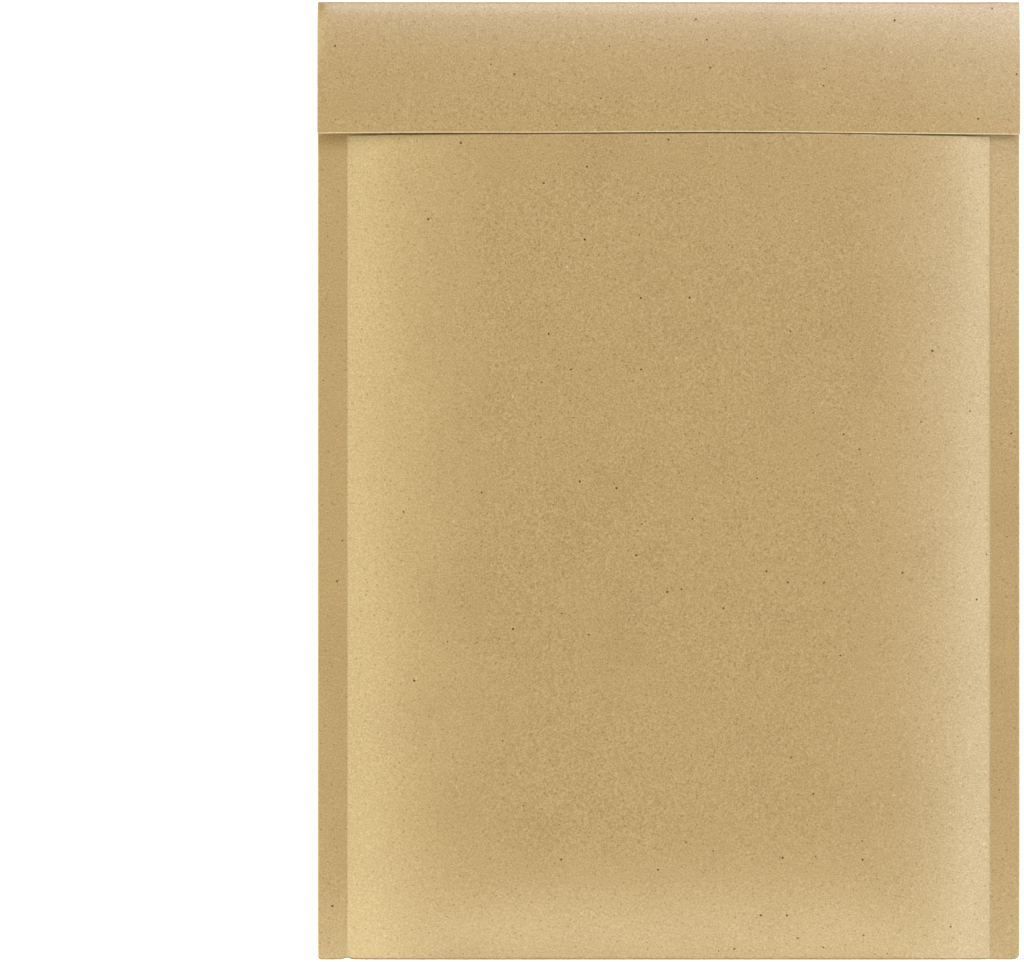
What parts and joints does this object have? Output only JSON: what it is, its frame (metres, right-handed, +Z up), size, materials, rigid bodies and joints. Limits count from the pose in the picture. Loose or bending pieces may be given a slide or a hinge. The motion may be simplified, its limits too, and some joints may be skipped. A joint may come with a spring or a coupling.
{
  "type": "bubble mailer",
  "caption": "Kraft paper bubble mailer, empty, with glued side seams, a folded bottom and its flap folded over the front.",
  "frame": {"origin": "middle of the rectangle that the mailer covers, at the height of the surface it lies on", "axes": "+X across the mailer, +Y from the bottom fold to the flap's crease, +Z up out of the front, which is the flap's side"},
  "size_m": [0.236, 0.322, 0.01],
  "materials": {
    "kraft_paper": "uncoated brown kraft paper",
    "bubble_film": "clear polyethylene film, glossy",
    "adhesive": "hot-melt adhesive, smooth and tacky",
    "liner_paper": "silicone-coated release paper, satin"
  },
  "bodies": {
    "root": {"kraft_envelope": "kraft_paper", "bubble_lining": "bubble_film", "adhesive_strip": "adhesive", "release_liner": "liner_paper"}
  },
  "joints": []
}
